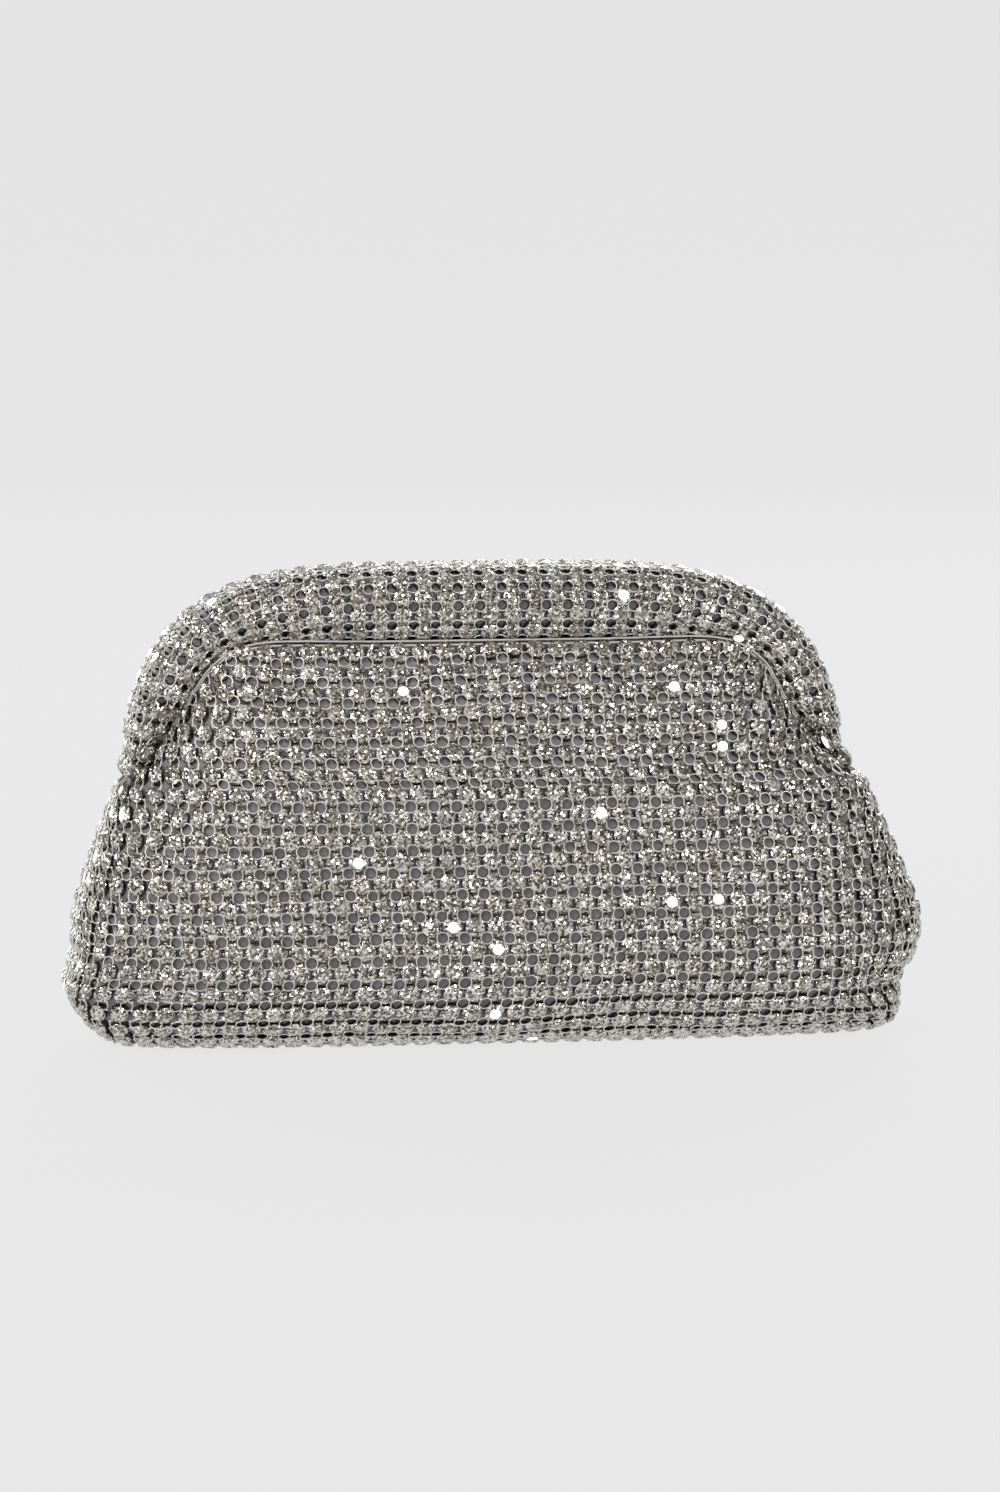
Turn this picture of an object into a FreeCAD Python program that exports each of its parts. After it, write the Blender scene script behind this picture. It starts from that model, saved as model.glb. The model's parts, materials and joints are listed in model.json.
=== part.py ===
import FreeCAD, Part

import math
import os

import Sketcher
from FreeCAD import Placement, Rotation, Vector

# An evening clutch with a hinged internal frame. Two arched bows, one in front and one behind, are riveted
# together at their lower ends and open like a mouth. Each bow is padded and wrapped in crystal mesh, and
# carries the upper part of its side of the bag. The pouch below the hinges stands on a flat base.
# Frame: X runs across the bag, -Y is the front, Z is up, and the origin is the middle of the base.
# Sizes are in millimetres.

DIMENSIONS = [
    # outline of the fixed pouch
    ("base_half_width", 100.0, "half width of the flat base"),
    ("base_half_depth", 13.0, "half depth of the flat base"),
    ("foot_height", 20.0, "height over which the base rounds into the walls"),
    ("belly_level", 34.0, "level of the widest section"),
    ("belly_half_width", 114.8, "half width there"),
    ("belly_half_depth", 33.0, "half depth there"),
    ("rim_level", 73.0, "top edge of the fixed wall"),
    ("rim_half_width", 99.2, "half width at that edge"),
    ("rim_half_depth", 31.5, "half depth at that edge"),
    # layers of the wall, from the outside in
    ("mesh_thickness", 2.4, "crystals in their metal cups"),
    ("backing_inset", 2.5, "outer face of the backing, below the outer face of the mesh"),
    ("backing_thickness", 0.8, "satin and interfacing behind the mesh"),
    ("lining_inset", 4.0, "outer face of the lining, below the outer face of the mesh"),
    ("lining_thickness", 0.6, "lining cloth"),
    ("lining_top", 52.0, "upper edge of the fixed lining"),
    # hinges
    ("hinge_level", 75.0, "hinge axis above the base"),
    ("rivet_radius", 1.5, "shank of the hinge rivet"),
    ("rivet_clearance", 0.05, "running clearance round the shank"),
    ("rivet_head_radius", 2.8, "rivet head"),
    ("rivet_head_height", 1.0, "rivet head"),
    ("ear_radius", 3.2, "rounded ends of a hinge ear"),
    ("ear_thickness", 1.2, "sheet thickness of an ear"),
    ("ear_rise", 8.0, "upper centre of an ear above the axis"),
    ("ear_inner_face", 87.8, "inner face of the rear ears"),
    ("washer_radius", 2.8, "nylon washer between the ears"),
    ("washer_thickness", 0.8, "nylon washer between the ears"),
    ("hinge_play", 0.05, "side play at each face of the stack"),
    # bows
    ("bow_level", 117.0, "centreline of a bow along the top"),
    ("bow_half_top", 45.9, "half length of the straight top"),
    ("bow_radius", 43.5, "radius of the shoulders"),
    ("shoulder_turn", 81.5, "angle of each shoulder, degrees"),
    ("bow_width", 5.0, "width of the strip in the plane of the arch"),
    ("bow_thickness", 2.4, "thickness of the strip front to back"),
    ("bow_offset", 4.0, "middle of the strip from the parting plane"),
    # padded rolls
    ("roll_top_radius", 11.0, "half height of a roll along the top"),
    ("roll_end_radius", 6.4, "half width of a roll at the hinge"),
    ("roll_top_depth", 10.9, "half depth of a roll along the top"),
    ("roll_end_depth", 6.3, "half depth of a roll at the hinge"),
    ("roll_top_centre", 5.6, "centre of a roll from the parting plane, top"),
    ("roll_end_centre", 3.9, "centre of a roll from the parting plane, hinge"),
    ("roll_taper", 1.3, "how fast a roll thins along the shoulder"),
    ("roll_end_level", 82.0, "lower end of the rolls"),
    ("cover_thickness", 2.2, "crystal mesh on the rolls"),
    ("parting_gap", 0.4, "mating faces from the parting plane"),
    ("facing_thickness", 0.6, "ribbon facing on the mating side of a roll"),
    ("facing_end_level", 85.5, "lower end of the facing, above the ears"),
    # closure
    ("magnet_radius", 4.5, "closure magnet"),
    ("magnet_thickness", 1.6, "closure magnet"),
    ("magnet_spacing", 44.0, "between the two magnets of a bow"),
    # piping in the seam between a roll and the panel below it
    ("piping_radius", 0.8, "piping cord"),
    ("piping_level", 106.5, "piping along the top"),
    ("piping_half_top", 50.0, "half length of its straight top"),
    ("piping_corner", 33.0, "radius of its shoulders"),
    ("piping_offset", 12.2, "piping from the parting plane"),
    ("piping_end_level", 85.0, "lower end of the piping"),
    # upper panels, which move with the bows
    ("panel_bottom", 69.0, "lower edge, inside the pouch wall"),
    ("panel_half_width", 91.0, "half width there"),
    ("panel_half_depth", 27.3, "half depth there"),
    ("panel_top", 104.0, "upper edge, under the roll"),
    ("panel_top_half_width", 74.0, "half width there"),
    ("panel_top_half_depth", 13.4, "half depth there"),
    ("panel_side_clear", 10.8, "panels stop this far from the parting plane"),
    # inside the pouch
    ("board_level", 2.6, "underside of the base board"),
    ("board_thickness", 2.0, "base board"),
    ("board_length", 196.0, "base board"),
    ("board_width", 24.0, "base board"),
    ("board_corner", 8.0, "corner radius of the board"),
    ("pocket_length", 110.0, "slip pocket"),
    ("pocket_height", 36.0, "slip pocket"),
    ("pocket_thickness", 0.6, "slip pocket"),
    ("pocket_bottom", 17.0, "lower edge of the slip pocket"),
    ("pocket_offset", 26.3, "slip pocket from the parting plane"),
]

SECTION_POINTS = 48  # points through which each closed section's spline passes
HUGE = 400.0  # larger than the bag, for the boxes that cut it
TOUCH = 0.05  # gap between pieces of one body that lie on each other
FRONT, REAR = -1, 1  # sides of the parting plane, which is y = 0

doc = FreeCAD.newDocument("evening_clutch")


def make_sheet():
    """The driving dimensions, one row each: name, value, meaning."""
    made = doc.addObject("Spreadsheet::Sheet", "dims")
    for row, (name, value, meaning) in enumerate(DIMENSIONS, start=1):
        made.set(f"A{row}", name)
        made.set(f"B{row}", str(value))
        made.set(f"C{row}", meaning)
        made.setAlias(f"B{row}", name)
    doc.recompute()
    return made


dims = make_sheet()


# ---------------------------------------------------------------- soft walls: lofts of superellipses


def pouch_profile():
    """Level, half width, half depth and squareness of the fixed pouch, from the base to its rim."""
    rows = []
    # share of the foot's height, share of the widening, squareness of the section
    for share, widening, power in [
        (0.0, 0.0, 3.0),
        (0.07, 0.44, 3.1),
        (0.2, 0.66, 3.3),
        (0.42, 0.80, 3.6),
        (0.7, 0.91, 3.9),
        (1.0, 0.97, 4.1),
    ]:
        rounding = math.sqrt(1 - (1 - share) ** 2)
        depth = dims.base_half_depth + (dims.belly_half_depth - dims.base_half_depth) * rounding
        width = dims.base_half_width + (dims.belly_half_width - dims.base_half_width) * widening
        rows.append((dims.foot_height * share, width, depth, power))
    for share in (0.0, 0.35, 0.65, 0.85, 1.0):
        level = dims.belly_level + (dims.rim_level - dims.belly_level) * share
        width = dims.belly_half_width + (dims.rim_half_width - dims.belly_half_width) * share**1.1
        depth = dims.belly_half_depth + (dims.rim_half_depth - dims.belly_half_depth) * share**2
        rows.append((level, width, depth, 4.0 - share))
    return rows


def panel_profile():
    """The same for the upper panels, from their lower edge inside the pouch to a little above their top."""
    rows = [
        (dims.panel_bottom, dims.panel_half_width, dims.panel_half_depth, 2.8),
        (dims.hinge_level, dims.panel_half_width - 0.2, dims.panel_half_depth, 2.8),
    ]
    for share in (0.35, 0.7, 1.0, 1.12):
        level = dims.hinge_level + (dims.panel_top - dims.hinge_level) * share
        width = dims.panel_half_width - (dims.panel_half_width - dims.panel_top_half_width) * share**1.6
        depth = dims.panel_half_depth - (dims.panel_half_depth - dims.panel_top_half_depth) * share
        rows.append((level, width, depth, 2.8 + 0.8 * share))
    return rows


def section(level, half_width, half_depth, power):
    """A closed spline through evenly spaced points of a superellipse at one level."""
    dense = []
    for i in range(721):
        turn = math.tau * i / 720
        c, s = math.cos(turn), math.sin(turn)
        reach = (abs(c) ** power + abs(s) ** power) ** (-1 / power)
        dense.append(Vector(half_width * reach * c, half_depth * reach * s, level))
    along = [0.0]
    for near, far in zip(dense, dense[1:]):
        along.append(along[-1] + near.distanceToPoint(far))
    picked = []
    j = 0
    for i in range(SECTION_POINTS):
        want = along[-1] * i / SECTION_POINTS
        while along[j + 1] < want:
            j += 1
        part = (want - along[j]) / (along[j + 1] - along[j])
        picked.append(dense[j] + (dense[j + 1] - dense[j]) * part)
    curve = Part.BSplineCurve()
    curve.interpolate(Points=picked, PeriodicFlag=True)
    return Part.Wire([curve.toShape()])


def loft(rows, inset):
    """A solid through the sections of a profile, each drawn in by inset."""
    return Part.makeLoft([section(z, a - inset, b - inset, n) for z, a, b, n in rows], True, False)


def half_space(side, start, low=-HUGE, high=HUGE):
    """Everything further than start from the parting plane on one side, between two levels."""
    near = start if side == REAR else -start - HUGE
    return Part.makeBox(2 * HUGE, HUGE, high - low, Vector(-HUGE, near, low))


def wall(rows, inset, thickness, kept):
    """A layer of a profile, cut to the part of space that is kept."""
    return loft(rows, inset).cut(loft(rows, inset + thickness)).common(kept)


def mirrored(shape):
    """The rear piece that a front piece becomes across the parting plane."""
    return shape.mirror(Vector(0, 0, 0), Vector(0, 1, 0))


# ---------------------------------------------------------------- padded rolls: lofts of ellipses on the arch


def roll_section(turn, run, flip, grow):
    """The ellipse of a front roll at one station of the bow's centreline, grown or shrunk all round. turn is
    the angle round the shoulder in degrees, run the place on the straight top, flip -1 on the left."""
    angle = math.radians(turn)
    outward = Vector(flip * math.sin(angle), 0, math.cos(angle))
    foot = Vector(flip * run, 0, dims.bow_level - dims.bow_radius) + outward * dims.bow_radius
    share = (1 - turn / dims.shoulder_turn) ** dims.roll_taper
    radius = dims.roll_end_radius + (dims.roll_top_radius - dims.roll_end_radius) * share + grow
    depth = dims.roll_end_depth + (dims.roll_top_depth - dims.roll_end_depth) * share + grow
    middle = dims.roll_end_centre + (dims.roll_top_centre - dims.roll_end_centre) * share
    centre = foot - Vector(0, middle, 0)
    ellipse = Part.Ellipse(centre + outward * radius, centre + Vector(0, depth, 0), centre)
    return Part.Wire([ellipse.toShape()])


def roll(grow):
    """The whole arch of a front roll, without its clipped mating side and ends."""
    turns = [dims.shoulder_turn * share for share in (1.0, 0.86, 0.7, 0.52, 0.34, 0.17, 0.06, 0.0)]
    half_top = dims.bow_half_top
    left = [roll_section(turn, half_top, -1, grow) for turn in turns]
    top = [roll_section(0, half_top * share, flip, grow) for flip, share in ((-1, 0.5), (1, 0), (1, 0.5))]
    right = [roll_section(turn, half_top, 1, grow) for turn in reversed(turns)]
    return Part.makeLoft(left + top + right, True, False)


# ---------------------------------------------------------------- document objects


def feature(label, shape):
    """A sub-part whose shape is worked out by this script's own functions."""
    made = doc.addObject("Part::Feature", label)
    made.Shape = shape
    made.Placement = Placement()
    return made


def origin_plane(body, role):
    return [item for item in body.Origin.OriginFeatures if item.Role == role][0]


def new_sketch(body, name, role, offset="0 mm"):
    """A sketch on an origin plane of its body, moved along that plane's normal by an expression."""
    made = body.newObject("Sketcher::SketchObject", name)
    made.AttachmentSupport = [(origin_plane(body, role), "")]
    made.MapMode = "FlatFace"
    made.setExpression("AttachmentOffset.Base.z", offset)
    return made


def bind(sketch, constraint, expression):
    """Adds a dimension to a sketch and binds it to the sheet."""
    index = sketch.addConstraint(constraint)
    sketch.setExpression(f"Constraints[{index}]", expression)


def pad(body, sketch, length, midplane=False, reverse=False):
    made = body.newObject("PartDesign::Pad", "Pad")
    made.Profile = sketch
    made.setExpression("Length", length)
    made.Midplane = midplane
    made.Reversed = reverse
    sketch.Visibility = False
    return made


def half_turn_about_middle(body, originals):
    """Mirrors features across x = 0 and makes the result the body's shape."""
    made = body.newObject("PartDesign::Mirrored", "Mirrored")
    made.Originals = originals
    made.MirrorPlane = (origin_plane(body, "YZ_Plane"), [""])
    body.Tip = made


# ---------------------------------------------------------------- bows


def strip_sketch(body, offset):
    """The right half of the flat strip: straight top, shoulder, and a radial end."""
    sketch = new_sketch(body, "strip", "XZ_Plane", offset)
    across, centre = dims.bow_half_top, dims.bow_level - dims.bow_radius
    low = math.pi / 2 - math.radians(dims.shoulder_turn)
    middle = Vector(across, centre, 0)
    ends = []
    for half, sum_sign in ((dims.bow_width / 2, "+"), (-dims.bow_width / 2, "-")):
        radius = dims.bow_radius + half
        round_part = Part.Circle(middle, Vector(0, 0, 1), radius)
        arc = sketch.addGeometry(Part.ArcOfCircle(round_part, low, math.pi / 2), False)
        size = Sketcher.Constraint("Radius", arc, radius)
        bind(sketch, size, f"dims.bow_radius {sum_sign} dims.bow_width / 2")
        level = centre + radius
        line = sketch.addGeometry(Part.LineSegment(Vector(0, level, 0), Vector(across, level, 0)), False)
        sketch.addConstraint(Sketcher.Constraint("Tangent", arc, 2, line, 2))
        sketch.addConstraint(Sketcher.Constraint("Horizontal", line))
        ends.append((arc, line, radius))
    (outer, outer_top, outer_radius), (inner, inner_top, inner_radius) = ends
    seam = Part.LineSegment(Vector(0, centre + inner_radius, 0), Vector(0, centre + outer_radius, 0))
    at_middle = sketch.addGeometry(seam, False)
    direction = Vector(math.cos(low), math.sin(low), 0)
    radial = Part.LineSegment(middle + direction * inner_radius, middle + direction * outer_radius)
    at_end = sketch.addGeometry(radial, False)
    for first, second in (
        ((inner_top, 1), (at_middle, 1)),
        ((outer_top, 1), (at_middle, 2)),
        ((inner, 1), (at_end, 1)),
        ((outer, 1), (at_end, 2)),
        ((outer, 3), (inner, 3)),
    ):
        sketch.addConstraint(Sketcher.Constraint("Coincident", *first, *second))
    sketch.addConstraint(Sketcher.Constraint("Vertical", at_middle))
    sketch.addConstraint(Sketcher.Constraint("PointOnObject", at_middle, 1, -2))
    sketch.addConstraint(Sketcher.Constraint("PointOnObject", outer, 3, at_end))
    bind(sketch, Sketcher.Constraint("Angle", at_end, low), "(90 - dims.shoulder_turn) * 1 deg")
    bind(sketch, Sketcher.Constraint("DistanceX", -1, 1, outer, 3, across), "dims.bow_half_top")
    arch_level = Sketcher.Constraint("DistanceY", -1, 1, outer, 3, centre)
    bind(sketch, arch_level, "dims.bow_level - dims.bow_radius")
    return sketch


def ear_sketch(body, side, inner_face):
    """A slot-shaped ear from the rivet up to the end of the strip, with the rivet's hole."""
    sketch = new_sketch(body, "ear", "YZ_Plane", inner_face)
    radius = dims.ear_radius
    pivot = Vector(0, dims.hinge_level, 0)
    upper = pivot + Vector(side * dims.bow_offset, dims.ear_rise, 0)
    lean = math.atan2(dims.ear_rise, side * dims.bow_offset)
    beside = Vector(-math.sin(lean), math.cos(lean), 0) * radius
    upright = Vector(0, 0, 1)
    quarter = math.pi / 2
    low_arc = Part.ArcOfCircle(Part.Circle(pivot, upright, radius), lean + quarter, lean + 3 * quarter)
    high_arc = Part.ArcOfCircle(Part.Circle(upper, upright, radius), lean - quarter, lean + quarter)
    low = sketch.addGeometry(low_arc, False)
    high = sketch.addGeometry(high_arc, False)
    one = sketch.addGeometry(Part.LineSegment(pivot - beside, upper - beside), False)
    other = sketch.addGeometry(Part.LineSegment(upper + beside, pivot + beside), False)
    for joined in ((low, 2, one, 1), (high, 1, one, 2), (high, 2, other, 1), (low, 1, other, 2)):
        sketch.addConstraint(Sketcher.Constraint("Tangent", *joined))
    sketch.addConstraint(Sketcher.Constraint("Equal", low, high))
    bind(sketch, Sketcher.Constraint("Radius", low, radius), "dims.ear_radius")
    sketch.addConstraint(Sketcher.Constraint("PointOnObject", low, 3, -2))
    bind(sketch, Sketcher.Constraint("DistanceY", -1, 1, low, 3, dims.hinge_level), "dims.hinge_level")
    bind(sketch, Sketcher.Constraint("DistanceY", low, 3, high, 3, dims.ear_rise), "dims.ear_rise")
    first, second = ((high, 3), (low, 3)) if side == FRONT else ((low, 3), (high, 3))
    bind(sketch, Sketcher.Constraint("DistanceX", *first, *second, dims.bow_offset), "dims.bow_offset")
    hole = sketch.addGeometry(Part.Circle(pivot, upright, dims.rivet_radius), False)
    sketch.addConstraint(Sketcher.Constraint("Coincident", hole, 3, low, 3))
    bore = Sketcher.Constraint("Radius", hole, dims.rivet_radius)
    bind(sketch, bore, "dims.rivet_radius + dims.rivet_clearance")
    return sketch


REAR_EAR = "dims.ear_inner_face"
WASHER_FACE = f"{REAR_EAR} + dims.ear_thickness + dims.hinge_play"
FRONT_EAR = f"{WASHER_FACE} + dims.washer_thickness + dims.hinge_play"
STACK_END = f"{FRONT_EAR} + dims.ear_thickness"


def bow(label, side):
    """The flat strip along the arch, with a riveted ear at each end."""
    body = doc.addObject("PartDesign::Body", label)
    offset = "dims.bow_offset" if side == FRONT else "-dims.bow_offset"
    strip = pad(body, strip_sketch(body, offset), "dims.bow_thickness", midplane=True)
    ear = pad(body, ear_sketch(body, side, FRONT_EAR if side == FRONT else REAR_EAR), "dims.ear_thickness")
    half_turn_about_middle(body, [strip, ear])
    return body


# ---------------------------------------------------------------- hinges, closure, piping


def discs(label, flip, stack):
    """Coaxial discs or rings on the hinge axis. Each is a start along the axis, a length, and its radii."""
    body = doc.addObject("PartDesign::Body", label)
    on_axis = Vector(0, dims.hinge_level, 0)
    for start, length, radii in stack:
        sketch = new_sketch(body, "disc", "YZ_Plane", f"{flip} * ({start})")
        for radius in radii:
            index = sketch.addGeometry(Part.Circle(on_axis, Vector(0, 0, 1), 1), False)
            bind(sketch, Sketcher.Constraint("Radius", index, 1.0), radius)
            sketch.addConstraint(Sketcher.Constraint("PointOnObject", index, 3, -2))
            height = Sketcher.Constraint("DistanceY", -1, 1, index, 3, dims.hinge_level)
            bind(sketch, height, "dims.hinge_level")
        pad(body, sketch, length, reverse=flip < 0)
    return body


def hinge(prefix, flip):
    """The rivet through both ears of one side, and the washer between them."""
    shank_start = f"{REAR_EAR} - dims.hinge_play"
    shank_length = f"({STACK_END}) - ({REAR_EAR}) + 2 * dims.hinge_play"
    head = ["dims.rivet_head_radius"]
    rivet = [
        (f"{shank_start} - dims.rivet_head_height", "dims.rivet_head_height", head),
        (shank_start, shank_length, ["dims.rivet_radius"]),
        (f"{STACK_END} + dims.hinge_play", "dims.rivet_head_height", head),
    ]
    ring = ["dims.washer_radius", "dims.rivet_radius + dims.rivet_clearance"]
    discs(f"{prefix}_hinge_rivet", flip, rivet)
    discs(f"{prefix}_hinge_washer", flip, [(WASHER_FACE, "dims.washer_thickness", ring)])


def magnet(label, side, flip):
    """A disc magnet between the facing and the bow."""
    made = doc.addObject("Part::Cylinder", label)
    made.setExpression("Radius", "dims.magnet_radius")
    made.setExpression("Height", "dims.magnet_thickness")
    made.Placement = Placement(Vector(), Rotation(Vector(1, 0, 0), 90))
    near = f"dims.parting_gap + dims.facing_thickness + {TOUCH}"
    made.setExpression("Placement.Base.x", f"{flip} * dims.magnet_spacing / 2")
    inner_face = f"-({near})" if side == FRONT else f"{near} + dims.magnet_thickness"
    made.setExpression("Placement.Base.y", inner_face)
    made.setExpression("Placement.Base.z", "dims.bow_level")
    return made


def piping(label, side):
    """A cord swept along the seam: straight top, shoulder, and its lower end in the side seam."""
    body = doc.addObject("PartDesign::Body", label)
    offset = "dims.piping_offset" if side == FRONT else "-dims.piping_offset"
    spine = new_sketch(body, "spine", "XZ_Plane", offset)
    across, radius, level = dims.piping_half_top, dims.piping_corner, dims.piping_level
    low = math.asin((dims.piping_end_level - level + radius) / radius)
    top = spine.addGeometry(Part.LineSegment(Vector(0, level, 0), Vector(across, level, 0)), False)
    round_part = Part.Circle(Vector(across, level - radius, 0), Vector(0, 0, 1), radius)
    shoulder = spine.addGeometry(Part.ArcOfCircle(round_part, low, math.pi / 2), False)
    spine.addConstraint(Sketcher.Constraint("Tangent", shoulder, 2, top, 2))
    spine.addConstraint(Sketcher.Constraint("Horizontal", top))
    spine.addConstraint(Sketcher.Constraint("PointOnObject", top, 1, -2))
    bind(spine, Sketcher.Constraint("Radius", shoulder, radius), "dims.piping_corner")
    bind(spine, Sketcher.Constraint("DistanceX", -1, 1, shoulder, 3, across), "dims.piping_half_top")
    bind(spine, Sketcher.Constraint("DistanceY", -1, 1, top, 1, level), "dims.piping_level")
    end = Sketcher.Constraint("DistanceY", -1, 1, shoulder, 1, dims.piping_end_level)
    bind(spine, end, "dims.piping_end_level")
    profile = new_sketch(body, "profile", "YZ_Plane")
    centre = Vector(side * dims.piping_offset, level, 0)
    ring = profile.addGeometry(Part.Circle(centre, Vector(0, 0, 1), dims.piping_radius), False)
    bind(profile, Sketcher.Constraint("Radius", ring, dims.piping_radius), "dims.piping_radius")
    first, second = ((ring, 3), (-1, 1)) if side == FRONT else ((-1, 1), (ring, 3))
    away = Sketcher.Constraint("DistanceX", *first, *second, dims.piping_offset)
    bind(profile, away, "dims.piping_offset")
    bind(profile, Sketcher.Constraint("DistanceY", -1, 1, ring, 3, level), "dims.piping_level")
    sweep = body.newObject("PartDesign::AdditivePipe", "Sweep")
    sweep.Profile = profile
    sweep.Spine = (spine, [""])
    half_turn_about_middle(body, [sweep])
    return body


# ---------------------------------------------------------------- inside the pouch


def board(label, level, thickness):
    """A flat board with rounded corners, lying in the base."""
    body = doc.addObject("PartDesign::Body", label)
    sketch = new_sketch(body, "outline", "XY_Plane", level)
    across, deep = dims.board_length / 2, dims.board_width / 2
    signs = ((-1, -1), (1, -1), (1, 1), (-1, 1))
    corners = [Vector(across * x, deep * y, 0) for x, y in signs]
    lines = [sketch.addGeometry(Part.LineSegment(corners[i], corners[i - 3]), False) for i in range(4)]
    for i in range(4):
        sketch.addConstraint(Sketcher.Constraint("Coincident", lines[i], 2, lines[i - 3], 1))
        sketch.addConstraint(Sketcher.Constraint("Vertical" if i % 2 else "Horizontal", lines[i]))
    sketch.addConstraint(Sketcher.Constraint("Symmetric", lines[0], 1, lines[2], 1, -1, 1))
    bind(sketch, Sketcher.Constraint("DistanceX", lines[0], 1, lines[0], 2, 2 * across), "dims.board_length")
    bind(sketch, Sketcher.Constraint("DistanceY", lines[1], 1, lines[1], 2, 2 * deep), "dims.board_width")
    slab = pad(body, sketch, thickness)
    doc.recompute()
    upright = [
        f"Edge{number}"
        for number, edge in enumerate(slab.Shape.Edges, start=1)
        if abs(edge.tangentAt(edge.FirstParameter).z) > 0.9
    ]
    rounding = body.newObject("PartDesign::Fillet", "Corners")
    rounding.Base = (slab, upright)
    rounding.setExpression("Radius", "dims.board_corner")
    return body


def slip_pocket():
    """The flat pocket sewn on the rear lining."""
    made = doc.addObject("Part::Box", "slip_pocket")
    made.setExpression("Length", "dims.pocket_length")
    made.setExpression("Width", "dims.pocket_thickness")
    made.setExpression("Height", "dims.pocket_height")
    made.setExpression("Placement.Base.x", "-dims.pocket_length / 2")
    made.setExpression("Placement.Base.y", "dims.pocket_offset")
    made.setExpression("Placement.Base.z", "dims.pocket_bottom")
    return made


# ---------------------------------------------------------------- the assembly


def fixed_pouch():
    """Mesh, backing and lining of the pouch, cut in two at the side seams, and its base."""
    rows = pouch_profile()
    layers = [
        ("crystal_shell", 0.0, dims.mesh_thickness, 0.0, HUGE),
        ("backing", dims.backing_inset, dims.backing_thickness, dims.mesh_thickness + TOUCH, HUGE),
        ("lining", dims.lining_inset, dims.lining_thickness, lining_floor() + TOUCH, dims.lining_top),
    ]
    for name, inset, thickness, low, high in layers:
        layer = wall(rows, inset, thickness, half_space(FRONT, TOUCH / 2, low, high))
        feature(f"front_{name}", layer)
        feature(f"rear_{name}", mirrored(layer))
    inside_walls = loft(rows, dims.mesh_thickness + TOUCH)
    under = Part.makeBox(2 * HUGE, 2 * HUGE, dims.mesh_thickness, Vector(-HUGE, -HUGE, 0))
    feature("base_crystal_panel", inside_walls.common(under))
    board("base_board", "dims.board_level", "dims.board_thickness")
    board("base_lining", f"dims.board_level + dims.board_thickness + {TOUCH}", "dims.lining_thickness")
    slip_pocket()


def lining_floor():
    """Top face of the lining that lies on the base board."""
    return dims.board_level + dims.board_thickness + TOUCH + dims.lining_thickness


def frame_half(side, prefix):
    """Everything that turns with one bow. The soft pieces are worked out for the front and mirrored."""
    made_bow = bow(f"{prefix}_bow", side)
    magnets = [magnet(f"{prefix}_{name}_magnet", side, flip) for name, flip in (("left", -1), ("right", 1))]
    made_piping = piping(f"{prefix}_piping", side)
    doc.recompute()
    mating_face = dims.parting_gap + dims.facing_thickness
    inside = half_space(FRONT, mating_face + TOUCH, dims.roll_end_level)
    cover = roll(0.0).cut(roll(-dims.cover_thickness)).common(inside)
    ribbon = half_space(FRONT, dims.parting_gap, dims.facing_end_level).cut(half_space(FRONT, mating_face))
    facing = roll(0.0).common(ribbon)
    padding = roll(-dims.cover_thickness - TOUCH).common(inside)
    rows = panel_profile()
    kept = half_space(FRONT, dims.panel_side_clear, dims.panel_bottom, dims.panel_top)
    soft = {
        "roll_cover": cover,
        "roll_facing": facing,
        "roll_padding": padding,
        "upper_panel": wall(rows, 0.0, dims.mesh_thickness, kept),
        "upper_backing": wall(rows, dims.backing_inset, dims.backing_thickness, kept),
        "upper_lining": wall(rows, dims.lining_inset, dims.lining_thickness, kept),
    }
    embedded = {
        "roll_padding": [made_bow, *magnets],
        "upper_panel": [made_piping],
        "upper_backing": [made_piping],
    }
    for name, shape in soft.items():
        placed = shape if side == FRONT else mirrored(shape)
        for tool in embedded.get(name, []):
            placed = placed.cut(tool.Shape)
        feature(f"{prefix}_{name}", placed)


fixed_pouch()
hinge("left", -1)
hinge("right", 1)
frame_half(FRONT, "front")
frame_half(REAR, "rear")
doc.recompute()

for item in doc.Objects:
    if "Invalid" in item.State or "Error" in item.State:
        raise RuntimeError(f"{item.Label} failed: {item.State}")

sub_parts = [
    item
    for item in doc.Objects
    if item.TypeId in ("PartDesign::Body", "Part::Feature", "Part::Cylinder", "Part::Box")
]
os.makedirs("parts", exist_ok=True)
for item in sub_parts:
    shape = item.Shape
    if shape.isNull() or not shape.isValid() or not shape.Solids:
        raise RuntimeError(f"{item.Label} has no valid solid")
    shape.exportStep(f"parts/{item.Label}.step")
    box = shape.BoundBox
    spans = f"x {box.XMin:7.2f} {box.XMax:7.2f}  y {box.YMin:7.2f} {box.YMax:7.2f}"
    spans += f"  z {box.ZMin:7.2f} {box.ZMax:7.2f}"
    print(f"{item.Label:22s} solids {len(shape.Solids)}  volume {shape.Volume:10.1f}  {spans}")
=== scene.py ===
import json
import math

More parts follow.
